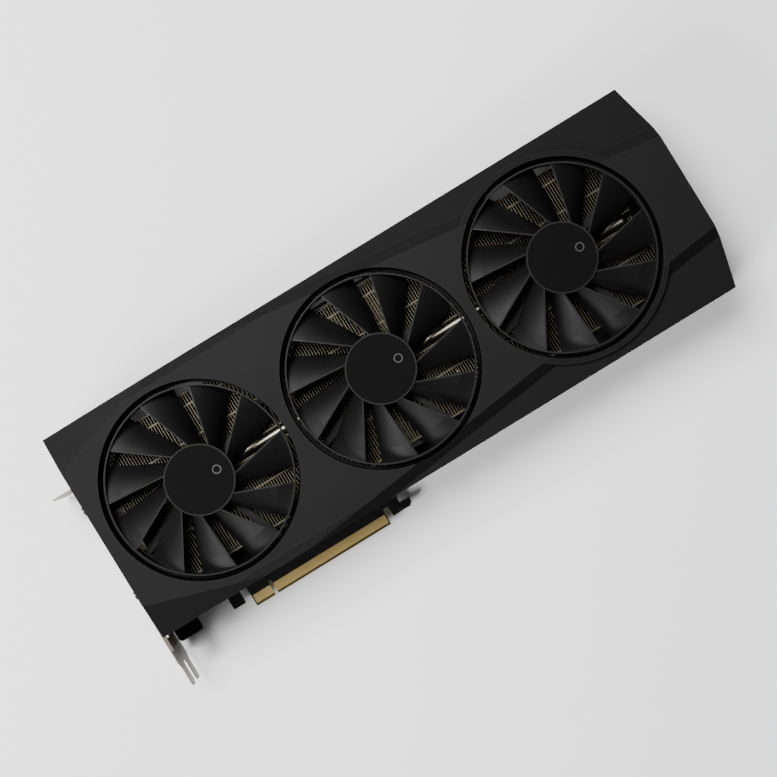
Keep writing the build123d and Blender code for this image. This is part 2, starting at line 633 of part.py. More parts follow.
def io_bracket():
    """Two-slot bent steel bracket: plate, flange, outward tab with screw notches, tongues and board lugs."""
    plate_x = (BRACKET_OUT_X, BRACKET_IN_X)
    full_z = (BRACKET_FAR_Z, BRACKET_NEAR_Z)
    low_y, top_y = BRACKET_Y
    shoulder_y = low_y + TONGUE_SHOULDER
    body = box(plate_x, (shoulder_y, top_y), full_z)
    body += ridge((BRACKET_OUT_X, 0), 0, tongue_outline(low_y, shoulder_y, full_z), BRACKET_THICK)
    tab_y = (top_y - BRACKET_THICK, top_y)
    body += box((BRACKET_OUT_X - TAB_REACH, BRACKET_IN_X), tab_y, full_z)
    flange_z = (BRACKET_NEAR_Z - BRACKET_THICK, BRACKET_NEAR_Z)
    body += box((BRACKET_OUT_X, BRACKET_OUT_X + FLANGE_REACH), (low_y + 10, top_y - 2), flange_z)
    # Screw notches, open at the tab's free edge
    edge_x = BRACKET_OUT_X - TAB_REACH
    half = NOTCH_WIDTH / 2
    for z in TONGUE_Z:
        body -= box((edge_x - 1, edge_x + NOTCH_DEPTH), (tab_y[0] - 1, tab_y[1] + 1), (z - half, z + half))
        body -= Pos(edge_x + NOTCH_DEPTH, top_y, z) * Rot(90, 0, 0) * Cylinder(half, 4 * BRACKET_THICK)
    # Lugs under the board
    for y in LUG_Y:
        lug_y = (y - LUG_WIDTH / 2, y + LUG_WIDTH / 2)
        lug_z = (-HALF_BOARD - BRACKET_THICK, -HALF_BOARD)
        body += box((BRACKET_IN_X, BOARD_LEFT_X + LUG_REACH), lug_y, lug_z)
        body -= rod(LUG_SCREW_X, y, (-HALF_BOARD - 2 * BRACKET_THICK, 0), SCREW_RADIUS + SCREW_GAP)
    # Socket windows, and the air grille over the second slot
    for y in DISPLAY_Y:
        body -= socket_block(y, DISPLAY_SIZE, WINDOW_GAP)
    body -= socket_block(WIDE_VIDEO_Y, WIDE_VIDEO_SIZE, WINDOW_GAP)
    grille_z = (TONGUE_Z[1] - TONGUE_WIDTH, BRACKET_PAD_Z - GRILLE_HEIGHT_MARGIN)
    slot = Rot(0, 90, 0) * extrude(SlotOverall(grille_z[1] - grille_z[0], GRILLE_SLOT), amount=3, both=True)
    for i in range(int((top_y - GRILLE_FIRST_Y) / GRILLE_PITCH)):
        body -= Pos(BRACKET_IN_X, GRILLE_FIRST_Y + i * GRILLE_PITCH, (grille_z[0] + grille_z[1]) / 2) * slot
    for y in BRACKET_PAD_Y:
        body -= rod_x((BRACKET_OUT_X - 1, BRACKET_IN_X + 1), y, BRACKET_PAD_Z, SCREW_RADIUS + SCREW_GAP)
    return body


def socket_block(y, size, grow=0.0):
    """The outside of a display socket, through the bracket and over the board."""
    depth, width, height = size
    half = width / 2 + grow
    span_x = (SHELL_FRONT_X - grow, SHELL_FRONT_X + depth + grow)
    return box(span_x, (y - half, y + half), (SHELL_LOW_Z - grow, SHELL_LOW_Z + height + grow))


def socket_shell(y, size):
    """A folded metal shell, open towards the bracket, with a foot on the board."""
    depth, width, height = size
    half = width / 2
    inner = box((SHELL_FRONT_X - 1, SHELL_FRONT_X + depth - INSERT_BACK),
                (y - half + SHELL_THICK, y + half - SHELL_THICK),
                (SHELL_LOW_Z + SHELL_THICK, SHELL_LOW_Z + height - SHELL_THICK))
    back_x = SHELL_FRONT_X + depth
    foot = box((back_x - 5.0, back_x - 3.0), (y - half, y + half), (HALF_BOARD, SHELL_LOW_Z))
    return socket_block(y, size) - inner + foot


def socket_insert(y, size):
    """The insulating tongue inside a socket, on its own back block."""
    depth, width, height = size
    back_x = SHELL_FRONT_X + depth - INSERT_BACK
    half = width / 2 - SHELL_THICK
    mid_z = SHELL_LOW_Z + height / 2
    half_z = height / 2 - SHELL_THICK
    back = box((back_x - INSERT_THICK, back_x), (y - half, y + half), (mid_z - half_z, mid_z + half_z))
    tongue_y = (y - half + 2 * half_z / 2.5, y + half - 2 * half_z / 2.5)
    tongue_z = (mid_z - INSERT_TONGUE / 2, mid_z + INSERT_TONGUE / 2)
    return back + box((BRACKET_OUT_X + INSERT_TONGUE, back_x), tongue_y, tongue_z)


def bracket_screws():
    """Pan-head screws: two up through the lugs, two through the bracket into the shroud."""
    head_r, head_h = PAN_HEAD
    under = -HALF_BOARD - BRACKET_THICK
    screws = []
    for y in LUG_Y:
        head = rod(LUG_SCREW_X, y, (under - head_h, under), head_r)
        screws.append(head + rod(LUG_SCREW_X, y, (under - head_h / 2, HALF_BOARD + 0.9), SCREW_RADIUS))
    for y in BRACKET_PAD_Y:
        head = rod_x((BRACKET_OUT_X - head_h, BRACKET_OUT_X), y, BRACKET_PAD_Z, head_r)
        drive_x = (BRACKET_OUT_X - 2 * head_h, BRACKET_OUT_X - head_h / 2)
        drive = rod_x(drive_x, y, BRACKET_PAD_Z, DRIVE_RADIUS)
        shank = rod_x((BRACKET_OUT_X - head_h / 3, SHROUD_LEFT_X + 5), y, BRACKET_PAD_Z, SCREW_RADIUS)
        screws.append(head + shank - drive)
    return group(screws)


# ---------------------------------------------------------------- parts on the board
def memory_places():
    """Centres of the memory chips round the processor."""
    places = []
    for side in (-1, 1):
        places += [(GPU_X + MEMORY_OFFSET * side, GPU_Y + MEMORY_PITCH * row) for row in (-1, 0, 1)]
        places.append((GPU_X + MEMORY_PITCH / 2 * side, GPU_Y + MEMORY_ABOVE))
    return places


def column_places(offset):
    """Centres of a column of supply parts on each side of the processor."""
    first = GPU_Y - COLUMN_BELOW_GPU
    return [(GPU_X + offset * s, first + COLUMN_PITCH * i) for s in (-1, 1) for i in range(COLUMN_COUNT)]


def chips(places, size, low=HALF_BOARD):
    """The same chip at each place."""
    return group([block(place, size, low) for place in places])


def capacitors():
    """Round polymer cans on square feet."""
    can_z = (HALF_BOARD + CAN_FOOT[2], HALF_BOARD + CAN_HEIGHT)
    return group([block(place, CAN_FOOT, HALF_BOARD) + rod(*place, can_z, CAN_RADIUS)
                  for place in column_places(CAN_OFFSET)])


def thermal_pads():
    """Soft pads between the cooler's frame and the chips under it."""
    size = (MEMORY_SIZE[0] - 1, MEMORY_SIZE[1] - 1, PAD_THICK)
    pads = [block(place, size, MEMORY_TOP_Z) for place in memory_places()]
    first_y = GPU_Y - COLUMN_BELOW_GPU - STAGE_SIZE[1] / 2
    strip_y = (first_y, first_y + COLUMN_PITCH * (COLUMN_COUNT - 1) + STAGE_SIZE[1])
    for side in (-1, 1):
        x = GPU_X + STAGE_OFFSET * side
        half = STAGE_SIZE[0] / 2
        pads.append(box((x - half, x + half), strip_y, (HALF_BOARD + STAGE_SIZE[2], COOLER_FRAME_Z)))
    return group(pads)


# ---------------------------------------------------------------- clamp on the processor
def cooler_frame():
    """Cast plate round the cold plate, over the memory and supply stages, with ribs up to the fins' base."""
    low_y, high_y = COOLER_FRAME_Y
    plate = box(COOLER_FRAME_X, COOLER_FRAME_Y, (COOLER_FRAME_Z, COLD_TOP_Z))
    window = COLD_PLATE_SIZE + 2 * FIT_GAP
    plate -= block((GPU_X, GPU_Y), (window, window, FRONT_Z), 0)
    pipes_end = GPU_Y + PIPE_PITCH * (PIPE_COUNT - 1) / 2 + PIPE_RADIUS + 1
    plate += box(COOLER_FRAME_X, (low_y, low_y + 3.8), (COOLER_FRAME_Z, FIN_LOW_Z))
    plate += box(COOLER_FRAME_X, (max(pipes_end, high_y - 12), high_y), (COOLER_FRAME_Z, FIN_LOW_Z))
    for x, y in BOARD_POSTS:
        plate -= rod(x, y, (0, FRONT_Z), POST_RADIUS + 5 * FIT_GAP)
    for x, y in RETENTION_HOLES:
        plate += rod(x, y, (HALF_BOARD, COLD_TOP_Z), SCREW_RADIUS + HOLDER_WALL)
    for x, y in RETENTION_HOLES:
        plate -= rod(x, y, (0, COLD_TOP_Z - 1), SCREW_RADIUS + RUNNING_GAP)
    return plate


def cold_plate():
    """Copper plate on the processor, with its corners cut back for the frame's screw towers."""
    plate = block((GPU_X, GPU_Y), (COLD_PLATE_SIZE, COLD_PLATE_SIZE, COLD_PLATE_THICK), PASTE_TOP_Z)
    corner = 2 * (PLATE_HALF - RETENTION_OFFSET + SCREW_RADIUS + HOLDER_WALL + 6 * FIT_GAP)
    for i, j in PLATE_CORNERS:
        plate -= block((GPU_X + PLATE_HALF * i, GPU_Y + PLATE_HALF * j), (corner, corner, FRONT_Z), 0)
    return plate


def retention_bracket():
    """Cross-shaped spring plate under the board, bearing on a pad behind the processor."""
    top = -HALF_BOARD - SPRING_OFF_BOARD
    z = (top - SPRING_THICK, top)
    body = block((GPU_X, GPU_Y), (18.0, 18.0, -HALF_BOARD - z[0]), z[0])
    arm = Box(2 * sqrt(2) * RETENTION_OFFSET, SPRING_ARM, SPRING_THICK)
    for turn in (45, -45):
        body += Pos(GPU_X, GPU_Y, (z[0] + z[1]) / 2) * Rot(0, 0, turn) * arm
    for x, y in RETENTION_HOLES:
        body += rod(x, y, z, SPRING_ARM / 2)
    for x, y in RETENTION_HOLES:
        body -= rod(x, y, (z[0] - 1, z[1] + 1), SCREW_RADIUS + SCREW_GAP)
    return body


def retention_screws():
    """Shoulder screws that pull the cooler's frame towards the spring plate."""
    head_r, head_h = PAN_HEAD
    low = -HALF_BOARD - SPRING_OFF_BOARD - SPRING_THICK
    return group([rod(x, y, (low - head_h + 0.3, low), head_r)
                  + rod(x, y, (low - 0.3, COLD_TOP_Z - 1.5), SCREW_RADIUS) for x, y in RETENTION_HOLES])


# ---------------------------------------------------------------- supply and fan sockets
def power_cavities(x):
    """Centres of a supply socket's cavities in two rows, in X and Z."""
    columns = [x + CAVITY_PITCH * (i - (CAVITY_COLUMNS - 1) / 2) for i in range(CAVITY_COLUMNS)]
    mid_z = HALF_BOARD + SOCKET_HEIGHT / 2
    return [(cx, mid_z + CAVITY_PITCH / 2 * side) for cx in columns for side in (-1, 1)]


def power_sockets():
    """Two supply sockets at the board's top edge, open towards +Y, each with a latch ramp."""
    top = HALF_BOARD + SOCKET_HEIGHT
    half = CAVITY_SIZE / 2
    sockets = []
    for x in SOCKET_X:
        width = (x - SOCKET_WIDTH / 2, x + SOCKET_WIDTH / 2)
        body = box(width, (SOCKET_BACK_Y, SOCKET_FRONT_Y), (HALF_BOARD, top))
        for cx, cz in power_cavities(x):
            depth = (SOCKET_BACK_Y + CAVITY_FLOOR, SOCKET_FRONT_Y + 1)
            body -= box((cx - half, cx + half), depth, (cz - half, cz + half))
        ramp = [(-6.0, 0), (-1.0, 0), (-5.0, LATCH_HEIGHT), (-6.0, LATCH_HEIGHT)]
        corners = [(x - LATCH_WIDTH / 2, SOCKET_FRONT_Y + y, top + z) for y, z in ramp]
        latch = extrude(make_face(Polyline(*corners, close=True)), amount=LATCH_WIDTH, dir=(1, 0, 0))
        sockets.append(body + latch)
    return group(sockets)


def power_pins():
    """Square pins standing in the supply sockets' cavities."""
    half = PIN_SIZE / 2
    reach = (SOCKET_BACK_Y + CAVITY_FLOOR, SOCKET_FRONT_Y - PIN_SHORT)
    return group([box((cx - half, cx + half), reach, (cz - half, cz + half))
                  for x in SOCKET_X for cx, cz in power_cavities(x)])


def fan_header():
    """Small socket on the board for the fans' plug, open at the top and towards the board's edge."""
    width, depth, _ = HEADER_SIZE
    body = block((HEADER_X, HEADER_Y), HEADER_SIZE, HALF_BOARD)
    inside_x = (HEADER_X - width / 2 + HEADER_WALL, HEADER_X + width / 2 - HEADER_WALL)
    inside_y = (HEADER_Y - depth / 2 + HEADER_WALL, HEADER_Y + depth)
    return body - box(inside_x, inside_y, (HALF_BOARD + HEADER_WALL, FRONT_Z))


def fan_plug():
    """Plug in the fan header."""
    width, depth, _ = HEADER_SIZE
    half = width / 2 - HEADER_WALL - FIT_GAP
    plug_x = (HEADER_X - half, HEADER_X + half)
    plug_y = (HEADER_Y - depth / 2 + HEADER_WALL + FIT_GAP, PLUG_BACK_Y)
    return box(plug_x, plug_y, (HALF_BOARD + HEADER_WALL, HALF_BOARD + HEADER_WALL + PLUG_HEIGHT))


# ---------------------------------------------------------------- fins and pipes
def pipe_rows():
    """Y of each heat pipe under the fins."""
    return [GPU_Y + PIPE_PITCH * (i - (PIPE_COUNT - 1) / 2) for i in range(PIPE_COUNT)]


def round_pipe(y, z):
    """A straight pipe along X with rounded ends."""
    ends = (PIPE_X[0] + PIPE_RADIUS, PIPE_X[1] - PIPE_RADIUS)
    pipe = rod_x(ends, y, z, PIPE_RADIUS)
    for x in ends:
        pipe += Pos(x, y, z) * Sphere(PIPE_RADIUS)
    return pipe


def fin_block(first, last):
    """Upright plates, from one of the row to another, on their own grooved base."""
    x = [FIN_FIRST_X + i * FIN_PITCH for i in range(first, last + 1)]
    outline = [(x[0], FIN_LOW_Z)]
    for here, after in zip(x, x[1:]):
        outline += [(here, FIN_TOP_Z), (here + FIN_THICK, FIN_TOP_Z)]
        outline += [(here + FIN_THICK, FIN_FLOOR_Z), (after, FIN_FLOOR_Z)]
    outline += [(x[-1], FIN_TOP_Z), (x[-1] + FIN_THICK, FIN_TOP_Z), (x[-1] + FIN_THICK, FIN_LOW_Z)]
    face = make_face(Polyline(*[(px, FIN_Y[0], pz) for px, pz in outline], close=True))
    fins = extrude(face, amount=FIN_Y[1] - FIN_Y[0], dir=(0, 1, 0))
    past = (x[0] - 1, x[-1] + FIN_THICK + 1)
    half = PIPE_RADIUS + FIT_GAP
    top_z = FIN_TOP_Z - PIPE_RADIUS
    tools = [rod_x(past, y, PIPE_Z, half) for y in pipe_rows()]
    tools.append(rod_x(past, MID_Y, top_z, half))
    tools.append(box(past, (MID_Y - half, MID_Y + half), (top_z, FIN_TOP_Z + 1)))
    over_sockets = x[0] < RECESS_X[1] and x[-1] > RECESS_X[0] + FIN_PITCH
    if over_sockets:
        tools.append(box(past, (SOCKET_BACK_Y - 3.0, FIN_Y[1] + 1), (FIN_LOW_Z - 1, RECESS_TOP_Z)))
    return fins.cut(*tools)


def fin_stack():
    """Three blocks of fins on the same pipes: the middle one is stepped over the supply sockets."""
    before = int((RECESS_X[0] - FIN_FIRST_X) / FIN_PITCH)
    after = int((RECESS_X[1] - FIN_FIRST_X) / FIN_PITCH) + 1
    return group([fin_block(0, before), fin_block(before + 1, after), fin_block(after + 1, FIN_COUNT)])


def fin_tabs():
    """Strips of joined tabs along the fins' top edges."""
    beside_pipe = PIPE_RADIUS + FIT_GAP + TAB_WIDTH / 2
    rows = [FIN_Y[0] + TAB_WIDTH / 2, MID_Y - 19.2, MID_Y - beside_pipe, MID_Y + beside_pipe]
    rows += [MID_Y + 21.0, FIN_Y[1] - 6.6, FIN_Y[1] - TAB_WIDTH / 2]
    half = TAB_WIDTH / 2
    return group([box(FIN_SPAN, (y - half, y + half), (FIN_TOP_Z, FIN_TOP_Z + TAB_THICK)) for y in rows])


# ---------------------------------------------------------------- fans
def fan_frame(x):
    """Ring under the duct, struts, and the motor plate with its bearing holder."""
    z = (FRAME_LOW_Z, DUCT_LOW_Z)
    plate_z = (FRAME_LOW_Z, FRAME_LOW_Z + PLATE_THICK)
    frame = tube(x, MID_Y, z, DUCT_R, OPENING_R - 1.5)
    strut = Pos(OPENING_R / 2, 0, 0) * Box(OPENING_R - 0.5, STRUT_WIDTH, PLATE_THICK)
    for i in range(STRUTS):
        frame += Pos(x, MID_Y, (plate_z[0] + plate_z[1]) / 2) * Rot(0, 0, 22 + 360 / STRUTS * i) * strut
    frame += rod(x, MID_Y, plate_z, HUB_RADIUS - 1)
    frame += rod(x, MID_Y, (FRAME_LOW_Z, HOLDER_TOP_Z), HOLDER_R)
    bridge = Pos(DUCT_R + FAN_SCREW_OUT / 3, 0, 0) * Box(4.0, 5.0, z[1] - z[0])
    for angle in FAN_SCREW_ANGLES:
        px, py = around(x, DUCT_R + FAN_SCREW_OUT, angle)
        frame += rod(px, py, z, POST_RADIUS)
        frame += Pos(x, MID_Y, (z[0] + z[1]) / 2) * Rot(0, 0, angle) * bridge
        frame -= rod(px, py, (z[0] - 1, z[1] + 1), FAN_SCREW_RADIUS + SCREW_GAP)
    return frame - rod(x, MID_Y, (plate_z[1], FRONT_Z), BEARING_RADIUS + RUNNING_GAP / 2)


def bearing(x):
    """Sleeve bearing in the frame's holder."""
    z = (FRAME_LOW_Z + 3.2, HOLDER_TOP_Z + FIT_GAP)
    return tube(x, MID_Y, z, BEARING_RADIUS, SHAFT_RADIUS + RUNNING_GAP)


def stator(x):
    """Wound core round the bearing holder: hub, arms, coils and pole shoes."""
    inner = HOLDER_R + RUNNING_GAP
    z = (FRAME_LOW_Z + 4.6, HOLDER_TOP_Z + FIT_GAP)
    mid = (z[0] + z[1]) / 2
    core_z = (mid - STATOR_CORE / 2, mid + STATOR_CORE / 2)
    core = rod(x, MID_Y, core_z, inner + 2.0)
    shoes = tube(x, MID_Y, core_z, STATOR_R, STATOR_R - HOLDER_WALL)
    arm = Pos(STATOR_R / 2, 0, 0) * Box(STATOR_R - 0.4, 2.4, STATOR_CORE)
    coil = Pos((inner + STATOR_R) / 2, 0, 0) * Box(STATOR_R - inner - 4.0, 5.2, z[1] - z[0])
    gap = Pos(STATOR_R, 0, 0) * Box(4.0, 2.0, 2 * STATOR_CORE)
    for i in range(STATOR_ARMS):
        turn = Pos(x, MID_Y, mid) * Rot(0, 0, 360 / STATOR_ARMS * i)
        core += turn * arm
        core += turn * coil
        shoes -= turn * Rot(0, 0, 180 / STATOR_ARMS) * gap
    return core + shoes - rod(x, MID_Y, (z[0] - 1, z[1] + 1), inner)


def fan_board(x):
    """Ring-shaped board under the stator."""
    low = FRAME_LOW_Z + PLATE_THICK
    return tube(x, MID_Y, (low, low + 1.0), HUB_RADIUS - 2.5, HOLDER_R + 2 * FIT_GAP)


def magnet_ring(x):
    """Magnet ring inside the rotor's cup."""
    z = (FRAME_LOW_Z + 5.2, CUP_CEILING_Z - 0.6)
    return tube(x, MID_Y, z, MAGNET_OUTER_R, MAGNET_OUTER_R - MAGNET_WALL)


def shaft(x):
    """Steel shaft, held in the rotor's boss and turning in the bearing."""
    return rod(x, MID_Y, (FRAME_LOW_Z + 2.6, CUP_TOP_Z - 0.4), SHAFT_RADIUS)


def hub_cap(x):
    """Thin round cap let into the top of the hub."""
    return rod(x, MID_Y, (CUP_TOP_Z, CUP_TOP_Z + CAP_THICK), HUB_RADIUS - RING_WALL + CAP_GAP)


def blade_section(radius, lead, z_top, lip):
    """A blade's section at one radius: flat lip in front, two bowed sides, and the trailing edge below."""
    mid = radians(lead - BLADE_CHORD / 2)
    half = radius * tan(radians(BLADE_CHORD / 2))
    outward = Vector(cos(mid), sin(mid), 0)
    plane = Plane(origin=outward * radius, x_dir=(-sin(mid), cos(mid), 0), z_dir=outward)
    mid_z = (z_top + BLADE_LOW_Z) / 2 + BLADE_BOW
    skew = 0.35
    front = Line((half, z_top), (half - lip, z_top))
    upper = ThreePointArc((half - lip, z_top), (-lip / 2 - skew, mid_z), (-half, BLADE_LOW_Z))
    back = Line((-half, BLADE_LOW_Z), (-half + lip, BLADE_LOW_Z))
    lower = ThreePointArc((-half + lip, BLADE_LOW_Z), (lip / 2 - skew, mid_z), (half, z_top))
    return plane * make_face([front, upper, back, lower])


def blade_lead(radius):
    """Angle of a blade's front edge, a straight line that leans from the radius at the hub."""
    reach = HUB_RADIUS * sin(radians(BLADE_LEAN))
    return BLADE_PHASE + BLADE_LEAN - degrees(asin(reach / radius))


def blade():
    """One blade about the Z axis: its lip runs at one height, then falls a little towards the ring."""
    lip_width = LIP_END_R - HUB_RADIUS
    radii = [HUB_RADIUS - 2.5] + [HUB_RADIUS + share * lip_width for share in (0.22, 0.58, 1.0)]
    inner = [blade_section(radius, blade_lead(radius), BLADE_TOP_Z, BLADE_LIP) for radius in radii]
    tip_r = RING_R - RING_WALL / 2
    tip = blade_section(tip_r + 2, blade_lead(tip_r + 2), BLADE_TOP_Z - 1.2, BLADE_LIP * 0.6)
    swept = loft(inner) + loft([inner[-1], tip], ruled=True)
    return swept & tube(0, 0, (CUP_LOW_Z, FRONT_Z), tip_r, HUB_RADIUS - HUB_WALL / 2)


def rotor():
    """Fan wheel about the Z axis: cup, blades and the outer ring."""
    wheel = tube(0, 0, (RING_LOW_Z, RING_TOP_Z), RING_R, RING_R - RING_WALL)
    cup = rod(0, 0, (CUP_LOW_Z, HUB_TOP_Z), HUB_RADIUS)
    cup -= rod(0, 0, (CUP_LOW_Z - 1, CUP_CEILING_Z), CUP_INNER_R)
    cup -= rod(0, 0, (CUP_TOP_Z, HUB_TOP_Z + 1), HUB_RADIUS - RING_WALL + 2 * CAP_GAP)
    cup += rod(0, 0, (CUP_CEILING_Z - 1.2, CUP_CEILING_Z + 0.2), SHAFT_RADIUS + 2.5)
    cup -= rod(0, 0, (CUP_CEILING_Z - 2, CUP_TOP_Z - 0.4), SHAFT_RADIUS)
    one = blade()
    blades = [Rot(0, 0, 360 / BLADES * i) * one for i in range(BLADES)]
    return cup.fuse(wheel, *blades)


def fan_screws():
    """Screws that hold the fan frames to the shroud's bosses."""
    head_r, head_h = FAN_SCREW_HEAD
    screws = []
    for x in FAN_X:
        for px, py in fan_screw_places(x):
            head = rod(px, py, (FRAME_LOW_Z - head_h, FRAME_LOW_Z), head_r)
            shank = rod(px, py, (FRAME_LOW_Z - head_h / 3, DUCT_LOW_Z + 5), FAN_SCREW_RADIUS)
            drive = rod(px, py, (FRAME_LOW_Z - 2 * head_h, FRAME_LOW_Z - head_h / 2), DRIVE_RADIUS - 0.1)
            screws.append(head + shank - drive)
    return group(screws)


def lead_route(index):
    """Points of one fan's lead: out of its frame, over the fins' edge, along the card, and in to the plug."""
    side = LEAD_EXIT_SIDE[index]
    way = LEAD_LANE_WAY[index]
    angle = 90 - side * LEAD_EXIT_ANGLE
    frame_z = (FRAME_LOW_Z + DUCT_LOW_Z) / 2
    start = around(FAN_X[index], DUCT_R + FIT_GAP / 5, angle)
    stub = around(FAN_X[index], DUCT_R + LEAD_STUB, angle)
    lane_y = FIN_Y[1] + LEAD_LANE_OFF_FINS[index]
    lane_z = LEAD_LANE_Z[index]
    end_x = HEADER_X + LEAD_PITCH * (index - 1)
    plug_z = HALF_BOARD + HEADER_SIZE[2] / 2 + 0.6
    return [
        (*start, frame_z),
        (*stub, frame_z),
        (stub[0] + side, lane_y, frame_z - 1),
        (stub[0] + side + way * LEAD_SLANT, lane_y, lane_z),
        (end_x - way * LEAD_SLANT, lane_y, lane_z),
        (end_x, lane_y, plug_z + 3),
        (end_x, PLUG_BACK_Y + LEAD_STUB, plug_z),
        (end_x, PLUG_BACK_Y, plug_z),
    ]


def bend_radii(points):
    """For each corner of a route, an arc as large as its two runs allow."""
    spots = [Vector(*p) for p in points]
    radii = []
    for before, here, after in zip(spots, spots[1:], spots[2:]):
        turn = (here - before).get_angle(after - here)
        shorter = min((here - before).length, (after - here).length)
        radii.append(0.45 * shorter / tan(radians(turn / 2)))
    return radii


def fan_lead(index):
    """One fan's lead, a round tube of runs and arcs."""
    points = lead_route(index)
    radii = bend_radii(points)
    path = FilletPolyline(*points, radius=radii)
    lead = sweep(Plane(origin=path @ 0, z_dir=path % 0) * Circle(LEAD_RADIUS), path=path)
    share = lead.volume / (pi * LEAD_RADIUS ** 2 * path.length)
    print("lead", index + 1, "length", round(path.length, 1), "radii", [round(r, 1) for r in radii])
    print("  its volume over its section times its length:", round(share, 4))
    return lead


# ---------------------------------------------------------------- build
def save_casing():
    save("shroud", shroud())
    save("face_plate", face_plate())
    save("backplate", backplate())
    save("post_screws", post_screws())


def save_board():
    save("circuit_board", circuit_board())
    save("edge_contacts", edge_contacts())
    save("gpu_package", chips([(GPU_X, GPU_Y)], PACKAGE_SIZE))
    save("gpu_die", chips([(GPU_X, GPU_Y)], DIE_SIZE, PACKAGE_TOP_Z))
    save("memory_chips", chips(memory_places(), MEMORY_SIZE))
    save("power_stages", chips(column_places(STAGE_OFFSET), STAGE_SIZE))
    save("power_inductors", chips(column_places(CHOKE_OFFSET), CHOKE_SIZE))
    save("capacitors", capacitors())
    save("power_sockets", power_sockets())
    save("power_pins", power_pins())
    save("fan_header", fan_header())
    save("fan_plug", fan_plug())


def save_bracket():
    save("io_bracket", io_bracket())
    save("bracket_screws", bracket_screws())
    save("display_sockets", group([socket_shell(y, DISPLAY_SIZE) for y in DISPLAY_Y]))
    save("wide_video_socket", socket_shell(WIDE_VIDEO_Y, WIDE_VIDEO_SIZE))
    inserts = [socket_insert(y, DISPLAY_SIZE) for y in DISPLAY_Y]
    save("socket_inserts", group(inserts + [socket_insert(WIDE_VIDEO_Y, WIDE_VIDEO_SIZE)]))


def save_cooler():
    paste_size = (DIE_SIZE[0] - 1, DIE_SIZE[1] - 1, PASTE_THICK)
    save("thermal_paste", chips([(GPU_X, GPU_Y)], paste_size, DIE_TOP_Z))
    save("thermal_pads", thermal_pads())
    save("cooler_frame", cooler_frame())
    save("cold_plate", cold_plate())
    save("retention_bracket", retention_bracket())
    save("retention_screws", retention_screws())
    save("fin_stack", fin_stack())
    save("fin_tabs", fin_tabs())
    save("heat_pipes", group([round_pipe(y, PIPE_Z) for y in pipe_rows()]))
    save("top_heat_pipe", round_pipe(MID_Y, FIN_TOP_Z - PIPE_RADIUS))


def save_fans():
    save("fan_screws", fan_screws())
    save("fan_leads", group([fan_lead(i) for i in range(3)]))
    wheel = rotor()
    for number, x in enumerate(FAN_X, start=1):
        save(f"fan_frame_{number}", fan_frame(x))
        save(f"bearing_{number}", bearing(x))
        save(f"stator_{number}", stator(x))
        save(f"fan_board_{number}", fan_board(x))
        save(f"rotor_{number}", Pos(x, MID_Y, 0) * wheel)
        save(f"hub_cap_{number}", hub_cap(x))
        save(f"magnet_ring_{number}", magnet_ring(x))
        save(f"shaft_{number}", shaft(x))


os.makedirs("parts", exist_ok=True)
save_casing()
save_board()
save_bracket()
save_cooler()
save_fans()
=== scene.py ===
# %% [markdown]
# # A three-fan graphics card
# The frame below is the engineering model of the card, with every part at its real size. This lesson
# gives each part its finish, rounds the edges of the casing, the backplate and the bracket, and puts a
# small ring on each hub. Lengths are in metres. +X runs along the card, +Y away from the slot, +Z towards
# the fans.

# %% Load the frame
import bmesh
import bpy
import json
from math import pi, radians
from mathutils import Matrix, Vector


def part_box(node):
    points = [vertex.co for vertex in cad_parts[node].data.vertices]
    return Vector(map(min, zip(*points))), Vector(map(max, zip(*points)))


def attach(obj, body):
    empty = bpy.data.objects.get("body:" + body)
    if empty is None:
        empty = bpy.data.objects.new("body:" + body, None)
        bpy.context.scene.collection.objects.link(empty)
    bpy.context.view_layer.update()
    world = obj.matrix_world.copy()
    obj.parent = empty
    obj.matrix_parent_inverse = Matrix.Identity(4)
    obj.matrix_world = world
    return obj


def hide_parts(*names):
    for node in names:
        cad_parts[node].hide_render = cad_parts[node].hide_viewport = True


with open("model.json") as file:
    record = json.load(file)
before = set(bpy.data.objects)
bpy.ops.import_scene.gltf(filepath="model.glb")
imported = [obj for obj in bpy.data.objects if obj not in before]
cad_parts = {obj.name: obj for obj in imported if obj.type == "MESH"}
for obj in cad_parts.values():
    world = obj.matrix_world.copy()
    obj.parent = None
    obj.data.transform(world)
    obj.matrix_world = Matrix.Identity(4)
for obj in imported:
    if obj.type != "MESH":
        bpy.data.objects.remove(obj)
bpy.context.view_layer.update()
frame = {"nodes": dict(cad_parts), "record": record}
nodes = frame["nodes"]
MM = 0.001

# %% [markdown]
# ## Camera
# The card lies flat and is seen from straight above, turned on the page. A long lens, about a metre away,
# keeps the perspective slight.

# %% Camera
CAMERA_PLACE = (0.1098, 0.0635, 0.998)
CAMERA_TURN = -31.5
LENS_MM = 85
SENSOR_MM = 36
camera_data = bpy.data.cameras.new("camera")
camera_data.lens = LENS_MM
camera_data.sensor_width = SENSOR_MM
camera = bpy.data.objects.new("camera", camera_data)
camera.location = CAMERA_PLACE
camera.rotation_euler = (0, 0, radians(CAMERA_TURN))
bpy.context.scene.collection.objects.link(camera)
bpy.context.scene.camera = camera
print("camera at", CAMERA_PLACE, "turned", CAMERA_TURN, "degrees")

# %% [markdown]
# ## Places worked out from the frame
# The fans' axes, the tops of their hubs, the middle of the card and the height it stands on all come from
# the boxes of the parts.

# %% Key places
def middle(node):
    """Centre of a part's box."""
    low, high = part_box(node)
    return (low + high) / 2


FAN_NUMBERS = (1, 2, 3)
fan_axis = {number: middle(f"rotor_{number}") for number in FAN_NUMBERS}
hub_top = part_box("hub_cap_1")[1].z
floor_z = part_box("backplate")[0].z
card_middle = middle("shroud")
print("hub tops at", round(hub_top / MM, 2), "mm, floor at", round(floor_z / MM, 2), "mm")

